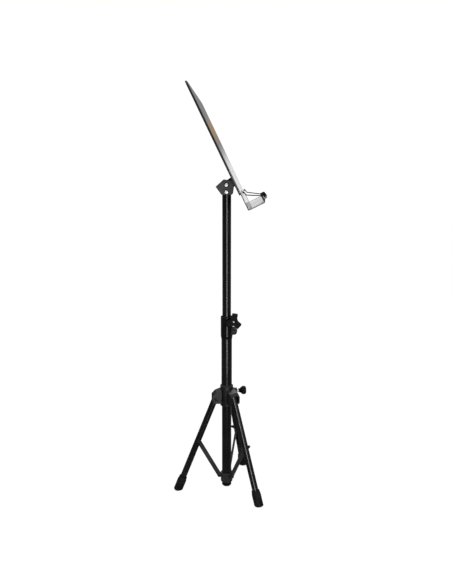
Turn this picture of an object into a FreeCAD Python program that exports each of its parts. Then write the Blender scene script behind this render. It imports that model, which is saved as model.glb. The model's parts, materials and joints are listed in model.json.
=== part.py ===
import FreeCAD, Part
import math
import os

import Sketcher
from FreeCAD import Placement, Rotation, Vector

# Conductor music stand: tripod base, three nested tubes, tilt head and a folded sheet-metal desk.
# Millimetres. The origin is on the floor under the column, +Z is up, +X is the reader's side.

SIZES = {
    # column
    "outer_od": 33.6, "outer_wall": 1.2, "outer_length": 250.0,
    "lower_od": 30.6, "lower_wall": 1.2, "lower_length": 366.0, "lower_foot_z": 14.0,
    "upper_od": 27.4, "upper_wall": 1.2, "upper_length": 638.0,
    "running_fit": 0.05, "loose_fit": 0.3,
    "cap_floor_gap": 2.0, "cap_plug": 16.0, "cap_chamfer": 2.5,
    "glide_flange": 3.0, "glide_spigot": 26.0, "glide_bore": 8.0,
    # height clamp
    "clamp_grip": 41.0, "clamp_height": 72.0, "clamp_wall": 2.0, "clamp_split": 2.4,
    "clamp_chamfer": 1.2, "clamp_taper": 9.0, "bush_spigot": 26.0, "bush_top_gap": 3.0,
    "bush_slit": 2.0,
    "ear_reach": 23.0, "ear_radius": 10.5, "ear_half_width": 12.0,
    "knob_ear_up": 61.0, "bolt_ear_up": 25.0,
    "clamp_stud_d": 8.0, "clamp_nut_width": 13.0, "clamp_nut_height": 6.5,
    "clamp_bolt_d": 5.0, "bolt_head_d": 9.0, "bolt_head_height": 5.0,
    "bolt_nut_width": 8.0, "bolt_nut_height": 4.0, "bolt_key_width": 4.0,
    "knob_span": 25.0, "knob_core_r": 13.0, "knob_lobe_width": 18.0, "knob_thick": 13.0,
    "knob_neck_r": 7.2, "knob_clear": 1.0, "knob_round": 2.5, "knob_first_lobe": 80.0,
    # hub
    "pivot_r": 36.8, "hub_wall": 4.0, "hub_rise": 44.0, "hub_drop": 27.0,
    "hub_shelf_drop": 12.0, "hub_chamfer": 3.0, "arm_reach": 47.0, "arm_cheek": 5.5,
    "arm_drop": 15.0, "arm_rise": 23.0, "arm_root_rise": 29.0, "arm_round": 9.0,
    "leg_gap": 0.4, "leg_top_room": 14.6, "hub_pin_d": 6.0, "pin_head": 2.4, "pin_head_d": 10.0,
    "lock_up": 21.5, "lock_boss_r": 9.0, "lock_boss_reach": 33.5, "lock_gap": 5.5,
    "lock_stud_d": 8.0, "lock_knob_r": 13.5, "lock_knob_thick": 16.5, "lock_neck_r": 6.5,
    "lock_neck": 7.0, "lock_flute_r": 4.0, "lock_flutes": 6.0,
    # legs, feet and braces
    "leg_od": 20.0, "leg_wall": 1.2, "leg_top": 10.0, "leg_length": 326.0, "leg_tilt": 22.0,
    "leg_end_z": 4.74, "left_azimuth": 191.0,
    "foot_od": 28.5, "foot_length": 52.0, "foot_shoulder": 11.0, "foot_lip": 2.0,
    "foot_sole": 11.0, "foot_round": 4.0,
    "brace_at": 152.0, "brace_width": 14.0, "brace_thick": 3.0, "brace_play": 4.4,
    "brace_side_gap": 0.7, "brace_slot_side": 1.5, "brace_pin_d": 4.0, "brace_washer": 1.2,
    "brace_washer_d": 12.0, "brace_pin_head_d": 9.0, "brace_pin_head": 8.5,
    "leg_slot_above": 12.0, "leg_slot_below": 74.0,
    "collar_z": 17.0, "collar_height": 31.0, "collar_wall": 4.0, "collar_chamfer": 1.0,
    "collar_pivot_z": 40.0, "collar_pivot_r": 24.6, "lug_reach": 31.6, "lug_cheek": 3.0,
    "collar_pin_d": 5.0, "collar_pin_head": 1.8, "collar_pin_head_d": 8.0,
    # tilt head
    "tube_top_z": 951.0, "tube_in_head": 17.0, "head_half": 18.0, "head_split": 1.0,
    "head_bottom": 3.0, "head_top": 48.5, "head_front": 22.0, "head_back": 33.0,
    "head_front_top": 45.0, "head_front_shoulder": 38.0, "head_foot_front": 15.5,
    "head_foot_back": 15.5, "head_front_low": 7.0, "head_back_z": 27.0, "head_crown": 5.5,
    "head_crown_back": 9.0, "head_edge": 2.0,
    "tilt_up": 32.0, "tube_bolt_up": 11.0, "head_bolt_d": 6.0, "head_bolt_width": 10.0,
    "head_bolt_head": 4.0, "head_nut_height": 5.0, "bolt_tail": 2.0,
    "tongue_thick": 5.0, "tongue_eye_r": 12.0, "tongue_root": 16.0, "tongue_gap": 1.2,
    "tongue_room": 3.0, "washer_d": 23.0,
    # desk
    "desk_tilt": 26.0, "desk_width": 500.0, "desk_height": 368.0, "sheet": 1.5,
    "desk_flange": 6.0, "desk_corner": 12.0, "edge_bend": 2.0, "apron": 50.0, "relief": 46.0,
    "pivot_up": 86.0, "pivot_back": 34.0,
    "ledge_depth": 46.5, "lip_rise": 9.5, "lip_run": 5.0, "lip_flange": 7.0, "bend_r": 3.0,
    "bend_share": 0.6,
    "bracket_width": 80.0, "bracket_height": 84.0, "bracket_sheet": 2.5, "bracket_round": 8.0,
    "rivet_d": 5.0, "rivet_head_d": 9.0, "rivet_head": 1.6, "rivet_inset": 13.0,
    "rivet_sink": 1.2,
    # page holders
    "holder_y": 70.0, "wire_d": 3.0, "wire_bend": 5.0, "clip_width": 14.0, "clip_height": 6.0,
    "clip_jaw": 3.0, "clip_wall": 2.5, "clip_grip": 5.5, "clip_nose": 3.5, "clip_round": 1.5,
    "axle_up": 2.4, "axle_in": 10.5, "axle_tail": 2.0, "arm_side": 3.5,
    "arm_knee_out": 8.5, "arm_knee_up": 37.0, "arm_knee_in": 5.0, "arm_crest_out": 6.6,
    "arm_crest_up": 47.0, "tip_y": 146.0, "tip_up": 46.6, "page_gap": 2.6,
}

doc = FreeCAD.newDocument("music_stand")
sheet = doc.addObject("Spreadsheet::Sheet", "Sizes")
for row, (alias, number) in enumerate(SIZES.items(), start=1):
    sheet.set("A%d" % row, alias)
    sheet.set("B%d" % row, str(number))
    sheet.setAlias("B%d" % row, alias)
doc.recompute()

nodes = {}
NEAR = 1.0  # how close to a limit an edge must lie to be taken for rounding
PARALLEL = 0.999  # cosine above which two directions count as one
SAME = 0.1  # how close two heights must lie to count as one


def size(alias):
    """One driving dimension, read back from the sheet."""
    return float(sheet.get(alias))


def bound(formula):
    """A size formula with each alias turned into a reference to the sheet."""
    words = formula.replace("(", " ( ").replace(")", " ) ").split()
    return " ".join("Sizes." + word if word in SIZES else word for word in words)


def at(x=0.0, y=0.0, z=0.0, axis=(0, 0, 1), turn=0.0):
    """Placement at a point, turned about an axis by degrees."""
    return Placement(Vector(x, y, z), Rotation(Vector(*axis), turn))


def keep(node, thing):
    """Name a finished sub-part; its label names its file."""
    thing.Label = node
    nodes[node] = thing
    return thing


def cylinder(name, radius, height, place=Placement()):
    """Cylinder along its own +Z, radius and height given as formulas."""
    solid = doc.addObject("Part::Cylinder", name)
    solid.setExpression("Radius", bound(radius))
    solid.setExpression("Height", bound(height))
    solid.Placement = place
    return solid


def centred_cylinder(name, radius, height, place=Placement()):
    """Cylinder whose middle is at the placement."""
    half = at(z=-half_of(height))
    return cylinder(name, radius, height, place.multiply(half))


def half_of(formula):
    """Half the value of a sum of aliases and numbers, such as 'leg_od + 2 * wall'."""
    total = 0.0
    sign = 1.0
    factor = 1.0
    for word in formula.split():
        if word == "+":
            sign = 1.0
        elif word == "-":
            sign = -1.0
        elif word == "*":
            continue
        elif word in SIZES:
            total += sign * factor * size(word)
            factor = 1.0
        else:
            factor = float(word)
    return total / 2


def block(name, length, width, height, place=Placement()):
    """Box centred on X and Y at the placement, standing up its +Z."""
    solid = doc.addObject("Part::Box", name)
    solid.setExpression("Length", bound(length))
    solid.setExpression("Width", bound(width))
    solid.setExpression("Height", bound(height))
    solid.Placement = place.multiply(at(x=-half_of(length), y=-half_of(width)))
    return solid


def fuse(name, pieces):
    """Union of several solids."""
    union = doc.addObject("Part::MultiFuse", name)
    union.Shapes = pieces
    union.Refine = True
    return union


def cut(name, base, tools):
    """Base solid with the tools taken away."""
    tool = tools[0] if len(tools) == 1 else fuse(name + "_tools", tools)
    result = doc.addObject("Part::Cut", name)
    result.Base = base
    result.Tool = tool
    return result


def group(name, pieces):
    """Separate solids kept together as one node."""
    bundle = doc.addObject("Part::Compound", name)
    bundle.Links = pieces
    return bundle


def sketch_on(body, plane):
    """New sketch on one of the body's own origin planes."""
    drawing = body.newObject("Sketcher::SketchObject", body.Name + "_sketch")
    support = [f for f in body.Origin.OriginFeatures if f.Role == plane][0]
    drawing.AttachmentSupport = (support, "")
    drawing.MapMode = "FlatFace"
    return drawing


def outline(body, plane, corners):
    """Closed outline of straight edges; every corner is a pair of size formulas."""
    drawing = sketch_on(body, plane)
    count = len(corners)
    start = [Vector(math.cos(2 * math.pi * i / count), math.sin(2 * math.pi * i / count), 0)
             for i in range(count)]
    for i in range(count):
        drawing.addGeometry(Part.LineSegment(start[i], start[(i + 1) % count]), False)
    for i in range(count):
        drawing.addConstraint(Sketcher.Constraint("Coincident", i, 2, (i + 1) % count, 1))
    for i, corner in enumerate(corners):
        for kind, formula in zip(("DistanceX", "DistanceY"), corner):
            index = drawing.addConstraint(Sketcher.Constraint(kind, -1, 1, i, 1, 1.0))
            drawing.setExpression("Constraints[%d]" % index, bound(formula))
    return drawing


def ring(body, plane, radius, centre=("0", "0")):
    """Circle sketch with its radius and centre given as formulas."""
    drawing = sketch_on(body, plane)
    drawing.addGeometry(Part.Circle(Vector(1, 1, 0), Vector(0, 0, 1), 1.0), False)
    index = drawing.addConstraint(Sketcher.Constraint("Radius", 0, 1.0))
    drawing.setExpression("Constraints[%d]" % index, bound(radius))
    for kind, formula in zip(("DistanceX", "DistanceY"), centre):
        index = drawing.addConstraint(Sketcher.Constraint(kind, -1, 1, 0, 3, 1.0))
        drawing.setExpression("Constraints[%d]" % index, bound(formula))
    return drawing


def new_body(name, place=Placement()):
    """Empty body at a placement."""
    body = doc.addObject("PartDesign::Body", name)
    body.Placement = place
    return body


def turn_profile(body, corners):
    """Revolve a half section, radius first and height second, about the body's Z."""
    drawing = outline(body, "XZ_Plane", corners)
    turned = body.newObject("PartDesign::Revolution", body.Name + "_turned")
    turned.Profile = drawing
    turned.ReferenceAxis = (drawing, ["V_Axis"])
    turned.Angle = 360
    return turned


def turned_body(name, corners, place=Placement()):
    """Body of revolution from one half section."""
    body = new_body(name, place)
    turn_profile(body, corners)
    return body


def pad(body, drawing, length, side="One side", reverse=False):
    """Pad a sketch of a body by a length formula."""
    solid = body.newObject("PartDesign::Pad", body.Name + "_pad")
    solid.Profile = drawing
    solid.setExpression("Length", bound(length))
    solid.SideType = side
    solid.Reversed = reverse
    return solid


def round_edges(body, base, radius, chosen):
    """Fillet the edges of a feature that pass a test on the edge."""
    doc.recompute()
    names = ["Edge%d" % (i + 1) for i, edge in enumerate(base.Shape.Edges) if chosen(edge)]
    fillet = body.newObject("PartDesign::Fillet", body.Name + "_round")
    fillet.Base = (base, names)
    fillet.setExpression("Radius", bound(radius))
    return fillet


def along(edge, axis):
    """True for a straight edge that runs along an axis."""
    if edge.Curve.TypeId != "Part::GeomLine":
        return False
    return abs(edge.Curve.Direction.dot(Vector(*axis))) > PARALLEL


def hexagon(name, width, height, place=Placement()):
    """Hexagonal prism with its width across flats given as a formula."""
    prism = doc.addObject("Part::Prism", name)
    prism.Polygon = 6
    prism.setExpression("Circumradius", bound(width + " / %.7f" % math.sqrt(3)))
    prism.setExpression("Height", bound(height))
    prism.Placement = place
    return prism


# The legs set the height of the hub, the hub that of the outer tube, and the tube that of the clamp.
lean = math.radians(size("leg_tilt"))
PIVOT_Z = size("leg_length") * math.cos(lean) + size("leg_end_z")
LOCK_Z = PIVOT_Z + size("lock_up")
SHELF_Z = PIVOT_Z - size("hub_shelf_drop")
OUTER_TOP_Z = SHELF_Z + size("outer_length")
CLAMP_Z = OUTER_TOP_Z - size("clamp_grip")
KNOB_EAR_Z = CLAMP_Z + size("knob_ear_up")
BOLT_EAR_Z = CLAMP_Z + size("bolt_ear_up")

# Directions: a spoke is a vertical half plane through the column at an azimuth.
AZIMUTHS = {name: size("left_azimuth") + step * 120 for step, name in enumerate(("left", "front", "rear"))}
LOCK_AZIMUTH = size("left_azimuth") + 180
FACING_NEAR = at(axis=(1, 0, 0), turn=90)
FACING_FAR = at(axis=(1, 0, 0), turn=-90)


def spoke(azimuth, radius=0.0, height=0.0):
    """Placement on a spoke: local X points outwards."""
    return at(z=height, turn=azimuth).multiply(at(x=radius))


def across(place):
    """The same place with its local Z laid across the spoke, along its local Y."""
    return place.multiply(FACING_FAR)


def leg_place(azimuth):
    """Leg frame: origin on the hub pivot, +Z up along the leg."""
    lean = at(axis=(0, 1, 0), turn=-size("leg_tilt"))
    return spoke(azimuth, size("pivot_r"), PIVOT_Z).multiply(lean)


# The brace runs from the collar pivot to a point on the leg, so its length and lean follow.
brace_run = size("pivot_r") + size("brace_at") * math.sin(lean) - size("collar_pivot_r")
brace_climb = PIVOT_Z - size("brace_at") * math.cos(lean) - size("collar_pivot_z")
BRACE_LENGTH = math.hypot(brace_run, brace_climb)
BRACE_LEAN = math.degrees(math.atan2(brace_run, brace_climb))


def brace_place(azimuth):
    """Brace frame: origin on the collar pivot, +Z up along the brace."""
    tip = at(axis=(0, 1, 0), turn=BRACE_LEAN)
    return spoke(azimuth, size("collar_pivot_r"), size("collar_pivot_z")).multiply(tip)


KNOB_NECK = "outer_od / 2 + clamp_wall + knob_clear - ear_half_width"
UPPER_TOP_Z = size("tube_top_z") + size("tube_in_head")
UPPER_FOOT_Z = UPPER_TOP_Z - size("upper_length")
TILT_Z = size("tube_top_z") + size("tilt_up")


def tube(name, od, wall, length, z):
    """Straight round tube standing on a height."""
    corners = [(od + " / 2 - " + wall, "0"), (od + " / 2", "0"),
               (od + " / 2", length), (od + " / 2 - " + wall, length)]
    return turned_body(name, corners, at(z=z))


def column():
    """Outer, lower and upper tube, with the cap and the glide."""
    outer = tube("outer_blank", "outer_od", "outer_wall", "outer_length", SHELF_Z)
    lock_path = spoke(LOCK_AZIMUTH, 0, LOCK_Z).multiply(at(axis=(0, 1, 0), turn=90))
    stud_hole = cylinder("outer_stud_hole", "lock_stud_d / 2 + loose_fit", "outer_od", lock_path)
    keep("outer_tube", cut("outer_tube", outer, [stud_hole]))
    keep("lower_tube", tube("lower_tube", "lower_od", "lower_wall", "lower_length", size("lower_foot_z")))

    bore = "upper_od / 2 - upper_wall"
    upper = tube("upper_blank", "upper_od", "upper_wall", "upper_length", UPPER_FOOT_Z)
    bolt_place = at(z=size("tube_top_z") + size("tube_bolt_up")).multiply(FACING_NEAR)
    bolt_hole = centred_cylinder("upper_bolt_hole", "head_bolt_d / 2 + running_fit",
                                 "3 * upper_od", bolt_place)
    keep("upper_tube", cut("upper_tube", upper, [bolt_hole]))

    plug = "lower_od / 2 - lower_wall - running_fit"
    under = "cap_floor_gap - lower_foot_z"
    cap = [("0", under), ("lower_od / 2 - cap_chamfer", under), ("lower_od / 2", under + " + cap_chamfer"),
           ("lower_od / 2", "0"), (plug, "0"), (plug, "cap_plug"), ("0", "cap_plug")]
    keep("tube_cap", turned_body("tube_cap", cap, at(z=size("lower_foot_z"))))

    spigot = bore + " - running_fit"
    glide = [("glide_bore / 2", "0 - glide_flange"), ("upper_od / 2", "0 - glide_flange"),
             ("upper_od / 2", "0"), (spigot, "0"), (spigot, "glide_spigot"),
             ("glide_bore / 2", "glide_spigot")]
    keep("tube_glide", turned_body("tube_glide", glide, at(z=UPPER_FOOT_Z)))


def clamp():
    """Split collar with two pairs of ears, its bush, screws and three-lobed knob."""
    bore = "outer_od / 2 + running_fit"
    skin = "outer_od / 2 + clamp_wall"
    wall = [(bore, "0"), ("outer_od / 2 + clamp_wall / 3", "0"), (skin, "clamp_taper"),
            (skin, "clamp_height - clamp_chamfer"), (skin + " - clamp_chamfer", "clamp_height"),
            (bore, "clamp_height")]
    shell = turned_body("clamp_shell", wall, at(z=CLAMP_Z))
    ears = []
    holes = []
    for ear, height, screw in (("knob", KNOB_EAR_Z, "clamp_stud_d"), ("bolt", BOLT_EAR_Z, "clamp_bolt_d")):
        centre = at(x=size("ear_reach"), z=height).multiply(FACING_NEAR)
        ears.append(centred_cylinder(ear + "_ear", "ear_radius", "2 * ear_half_width", centre))
        web = at(x=size("ear_reach") / 2, z=height - size("ear_radius"))
        ears.append(block(ear + "_web", "ear_reach", "2 * ear_half_width", "2 * ear_radius", web))
        holes.append(centred_cylinder(ear + "_hole", screw + " / 2 + loose_fit",
                                      "4 * ear_half_width", centre))
    reach = at(x=size("ear_reach"), z=CLAMP_Z)
    holes.append(block("clamp_split_gap", "2 * ear_reach", "clamp_split", "clamp_height", reach))
    holes.append(cylinder("clamp_bore", bore, "clamp_height", at(z=CLAMP_Z)))
    keep("clamp_collar", cut("clamp_collar", fuse("clamp_solid", [shell] + ears), holes))

    bush_top = "clamp_height - clamp_grip - bush_top_gap"
    inner = "upper_od / 2 + running_fit"
    seat = "outer_od / 2 - outer_wall - running_fit"
    bush = [(inner, "0 - bush_spigot"), (seat, "0 - bush_spigot"), (seat, "0"), ("outer_od / 2", "0"),
            ("outer_od / 2", bush_top), (inner, bush_top)]
    sleeve = turned_body("bush_sleeve", bush, at(z=OUTER_TOP_Z))
    slit_at = at(x=size("outer_od") / 2, z=OUTER_TOP_Z - size("bush_spigot"))
    slit = block("bush_slit_gap", "outer_od", "bush_slit", "clamp_height + bush_spigot", slit_at)
    keep("clamp_bush", cut("clamp_bush", sleeve, [slit]))

    ear_x = size("ear_reach")
    ear_y = size("ear_half_width")
    bolt_near = at(ear_x, -ear_y, BOLT_EAR_Z).multiply(FACING_NEAR)
    bolt_far = at(ear_x, ear_y, BOLT_EAR_Z).multiply(FACING_FAR)
    head = cylinder("clamp_bolt_head", "bolt_head_d / 2", "bolt_head_height", bolt_near)
    through = "2 * ear_half_width + bolt_nut_height + bolt_tail"
    shank = cylinder("clamp_bolt_shank", "clamp_bolt_d / 2", through,
                     bolt_near.multiply(at(axis=(1, 0, 0), turn=180)))
    key = hexagon("clamp_bolt_key", "bolt_key_width", "bolt_head_height / 2",
                  bolt_near.multiply(at(z=size("bolt_head_height") / 2)))
    keep("clamp_bolt", cut("clamp_bolt", fuse("clamp_bolt_solid", [head, shank]), [key]))
    nut = hexagon("clamp_bolt_nut_blank", "bolt_nut_width", "bolt_nut_height", bolt_far)
    nut_bore = cylinder("clamp_bolt_nut_bore", "clamp_bolt_d / 2", "bolt_nut_height", bolt_far)
    keep("clamp_bolt_nut", cut("clamp_bolt_nut", nut, [nut_bore]))

    knob_near = at(ear_x, -ear_y, KNOB_EAR_Z).multiply(FACING_NEAR)
    knob_far = at(ear_x, ear_y, KNOB_EAR_Z).multiply(FACING_FAR)
    nut = hexagon("clamp_nut_blank", "clamp_nut_width", "clamp_nut_height", knob_far)
    nut_bore = cylinder("clamp_nut_bore", "clamp_stud_d / 2 + running_fit", "clamp_nut_height",
                        knob_far)
    keep("clamp_nut", cut("clamp_nut", nut, [nut_bore]))
    stud_length = "2 * ear_half_width + clamp_nut_height + bolt_tail + knob_thick + " + KNOB_NECK
    tail = size("clamp_nut_height") + size("bolt_tail")
    stud_end = knob_far.multiply(at(z=tail, axis=(1, 0, 0), turn=180))
    keep("clamp_stud", cylinder("clamp_stud", "clamp_stud_d / 2", stud_length, stud_end))
    lobed_knob(knob_near.multiply(at(z=size("loose_fit"))))


def lobed_knob(place):
    """Three squarish lobes on a round core, with a neck that holds them clear of the collar."""
    first = at(turn=size("knob_first_lobe"))
    body = new_body("knob_blank", place.multiply(first))
    core_top = KNOB_NECK + " + knob_thick"
    pad(body, ring(body, "XY_Plane", "knob_core_r"), core_top)
    half = "knob_lobe_width / 2"
    lobe = outline(body, "XY_Plane", [("0", "0 - " + half), ("knob_span", "0 - " + half),
                                      ("knob_span", half), ("0", half)])
    arm = pad(body, lobe, core_top)
    spread = body.newObject("PartDesign::PolarPattern", "knob_lobes")
    spread.Originals = [arm]
    spread.Axis = (lobe, ["N_Axis"])
    spread.Angle = 360
    spread.Occurrences = 3
    body.Tip = spread
    doc.recompute()
    reach = size("knob_span") - NEAR
    rounded = round_edges(body, spread, "knob_round",
                          lambda edge: all(math.hypot(v.X, v.Y) > reach for v in edge.Vertexes))
    body.Tip = rounded
    under = [("knob_neck_r", "0"), ("knob_span * 2", "0"), ("knob_span * 2", KNOB_NECK),
             ("knob_neck_r", KNOB_NECK)]
    skirt = turned_body("knob_skirt", under, place)
    bore = cylinder("knob_bore", "clamp_stud_d / 2 + running_fit", "2 * knob_span", place)
    keep("clamp_knob", cut("clamp_knob", body, [skirt, bore]))


def hub():
    """Cast hub: sleeve on the outer tube, three clevis arms, boss for the lock knob."""
    top = "hub_rise"
    skin = "outer_od / 2 + hub_wall"
    seat = "outer_od / 2 + running_fit"
    guide = "lower_od / 2 + running_fit"
    sleeve = turned_body("hub_sleeve", [
        (guide, "0 - hub_drop"), (skin + " - hub_chamfer", "0 - hub_drop"),
        (skin, "hub_chamfer - hub_drop"), (skin, top + " - hub_chamfer"),
        (skin + " - hub_chamfer", top), (seat, top),
        (seat, "0 - hub_shelf_drop"), (guide, "0 - hub_shelf_drop")], at(z=PIVOT_Z))
    solids = [sleeve]
    tools = []
    slot_width = "leg_od + 2 * leg_gap"
    slot_in = size("outer_od") / 2 + size("hub_wall")
    for name, azimuth in AZIMUTHS.items():
        pivot = spoke(azimuth, 0, PIVOT_Z)
        arm = new_body("hub_arm_" + name, pivot)
        shape = outline(arm, "XZ_Plane", [
            ("outer_od / 2 + hub_wall / 2", "0 - arm_drop"), ("arm_reach", "0 - arm_drop"),
            ("arm_reach", "arm_rise / 2"), ("arm_reach - arm_rise / 2", "arm_rise"),
            ("outer_od / 2 + hub_wall / 2", "arm_root_rise")])
        solid = pad(arm, shape, slot_width + " + 2 * arm_cheek", "Symmetric")
        round_edges(arm, solid, "arm_round", lambda edge: along(edge, (0, 1, 0))
                    and edge.Vertexes[0].X > size("arm_reach") - NEAR and edge.Vertexes[0].Z < 0)
        solids.append(arm)
        depth = 2 * size("arm_reach")
        slot_at = spoke(azimuth, slot_in + depth / 2, PIVOT_Z - size("arm_reach"))
        tools.append(block("hub_slot_" + name, "2 * arm_reach", slot_width, "arm_reach + leg_top_room",
                           slot_at))
        pin_at = across(spoke(azimuth, size("pivot_r"), PIVOT_Z))
        tools.append(centred_cylinder("hub_pin_hole_" + name, "hub_pin_d / 2 + running_fit",
                                      "4 * leg_od", pin_at))
    lock = spoke(LOCK_AZIMUTH, 0, LOCK_Z).multiply(at(axis=(0, 1, 0), turn=90))
    solids.append(cylinder("hub_boss", "lock_boss_r", "lock_boss_reach", lock))
    tools.append(cylinder("hub_stud_hole", "lock_stud_d / 2 + running_fit", "2 * lock_boss_reach", lock))
    whole = fuse("hub_solid", solids)
    tools.append(cylinder("hub_seat_bore", seat, "2 * hub_rise", at(z=SHELF_Z)))
    keep("tripod_hub", cut("tripod_hub", whole, tools))

    pins = []
    length = "leg_od + 2 * leg_gap + 2 * arm_cheek"
    for name, azimuth in AZIMUTHS.items():
        pin_at = across(spoke(azimuth, size("pivot_r"), PIVOT_Z))
        pins.append(headed_pin("hub_pin_" + name, pin_at, "hub_pin_d", length, "pin_head_d", "pin_head"))
    keep("hub_pins", group("hub_pins", pins))
    lock_knob(lock)


def headed_pin(name, place, diameter, length, head_d, head):
    """Rivet-like pin across a spoke: a shank with a low domed head at each end."""
    half = "( " + length + " ) / 2"
    body = new_body(name, place)
    turn_profile(body, [
        ("0", "0 - " + half + " - " + head), (head_d + " / 4", "0 - " + half + " - " + head),
        (head_d + " / 2", "0 - " + half + " - " + head + " / 3"), (head_d + " / 2", "0 - " + half),
        (diameter + " / 2", "0 - " + half), (diameter + " / 2", half), (head_d + " / 2", half),
        (head_d + " / 2", half + " + " + head + " / 3"), (head_d + " / 4", half + " + " + head),
        ("0", half + " + " + head)])
    return body


def lock_knob(lock):
    """Fluted knob with a tapered neck, on the stud that locks the lower tube."""
    face = lock.multiply(at(z=size("lock_boss_reach") + size("lock_gap")))
    crown = "lock_neck + lock_knob_thick"
    body = new_body("lock_knob_blank", face)
    turn_profile(body, [
        ("0", "0"), ("lock_neck_r", "0"), ("lock_neck_r", "lock_neck / 2"),
        ("lock_knob_r", "lock_neck + lock_knob_thick / 3"), ("lock_knob_r", crown + " - hub_chamfer"),
        ("lock_knob_r - hub_chamfer", crown), ("0", crown)])
    flute = ring(body, "XY_Plane", "lock_flute_r", ("lock_knob_r + lock_flute_r / 3", "0"))
    groove = body.newObject("PartDesign::Pocket", "lock_flute")
    groove.Profile = flute
    groove.Type = "ThroughAll"
    groove.Reversed = True
    spread = body.newObject("PartDesign::PolarPattern", "lock_flutes_round")
    spread.Originals = [groove]
    spread.Axis = (flute, ["N_Axis"])
    spread.Angle = 360
    spread.Occurrences = int(size("lock_flutes"))
    body.Tip = spread
    stud_at = lock.multiply(at(z=size("lower_od") / 2 + size("loose_fit")))
    stud_end = "lock_boss_reach + lock_gap + lock_neck + lock_knob_thick / 2"
    length = stud_end + " - lower_od / 2 - loose_fit"
    keep("hub_stud", cylinder("hub_stud", "lock_stud_d / 2", length, stud_at))
    bore = cylinder("lock_knob_bore", "lock_stud_d / 2 + running_fit", stud_end, lock)
    keep("hub_knob", cut("hub_knob", body, [bore]))


def leg(name, azimuth):
    """Leg tube with a slot for its brace, rubber foot and brace pin."""
    frame = leg_place(azimuth)
    blank = turned_body("leg_blank_" + name, [
        ("leg_od / 2 - leg_wall", "0 - leg_length"), ("leg_od / 2", "0 - leg_length"),
        ("leg_od / 2", "leg_top"), ("leg_od / 2 - leg_wall", "leg_top")], frame)
    pivot_hole = centred_cylinder("leg_pivot_hole_" + name, "hub_pin_d / 2 + running_fit",
                                  "2 * leg_od", across(frame))
    at_brace = frame.multiply(at(z=-size("brace_at")))
    pin_hole = centred_cylinder("leg_pin_hole_" + name, "brace_pin_d / 2 + running_fit",
                                "2 * leg_od", across(at_brace))
    slot_place = at_brace.multiply(at(x=-size("leg_od") / 2, z=-size("leg_slot_below")))
    slot = block("leg_slot_" + name, "leg_od", "brace_thick + 2 * brace_side_gap",
                 "leg_slot_above + leg_slot_below", slot_place)
    keep("leg_" + name, cut("leg_" + name, blank, [pivot_hole, pin_hole, slot]))

    end = frame.multiply(at(z=-size("leg_length")))
    rim = "foot_length - foot_sole"
    socket = "leg_od / 2 + running_fit"
    boot = turned_body("foot_blank_" + name, [
        ("0", "0 - foot_sole"), ("foot_od / 2 - foot_round", "0 - foot_sole"),
        ("foot_od / 2", "foot_round - foot_sole"), ("foot_od / 2", rim + " - foot_shoulder"),
        ("leg_od / 2 + foot_lip", rim), (socket, rim), (socket, "0"), ("0", "0")], end)
    below = at(end.Base.x, end.Base.y, -size("foot_length"))
    under = block("floor_" + name, "4 * foot_od", "4 * foot_od", "foot_length", below)
    keep("foot_" + name, cut("foot_" + name, boot, [under]))

    reach = "( leg_od / 2 + running_fit )"
    washer = reach + " + brace_washer"
    crown = washer + " + brace_pin_head"
    half = [("brace_pin_d / 2", reach), ("brace_washer_d / 2", reach), ("brace_washer_d / 2", washer),
            ("brace_pin_head_d / 2", washer), ("brace_pin_head_d / 2", washer + " + brace_pin_head / 2"),
            ("brace_pin_head_d / 4", crown), ("0", crown)]
    mirrored = [(radius, "0 - ( " + height + " )") for radius, height in reversed(half)]
    pin = new_body("brace_pin_" + name, across(at_brace))
    turn_profile(pin, mirrored + half)
    keep("brace_pin_" + name, pin)


def brace(name, azimuth):
    """Flat bar with round ends, a pivot hole at the collar and a slot at the leg pin."""
    frame = brace_place(azimuth)
    bar = block("brace_bar_" + name, "brace_width", "brace_thick", "%.6f" % BRACE_LENGTH, frame)
    lower = centred_cylinder("brace_low_end_" + name, "brace_width / 2", "brace_thick", across(frame))
    head = frame.multiply(at(z=BRACE_LENGTH))
    upper = centred_cylinder("brace_high_end_" + name, "brace_width / 2", "brace_thick", across(head))
    pivot = centred_cylinder("brace_pivot_hole_" + name, "collar_pin_d / 2 + running_fit",
                             "4 * brace_thick", across(frame))
    slot_r = "brace_pin_d / 2 + brace_slot_side"
    slot_top = centred_cylinder("brace_slot_top_" + name, slot_r, "4 * brace_thick", across(head))
    low = head.multiply(at(z=-size("brace_play")))
    slot_low = centred_cylinder("brace_slot_low_" + name, slot_r, "4 * brace_thick", across(low))
    slot_mid = block("brace_slot_mid_" + name, "brace_pin_d + 2 * brace_slot_side", "4 * brace_thick",
                     "brace_play", low)
    solid = fuse("brace_solid_" + name, [bar, lower, upper])
    keep("brace_" + name, cut("brace_" + name, solid, [pivot, slot_top, slot_low, slot_mid]))


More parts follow.
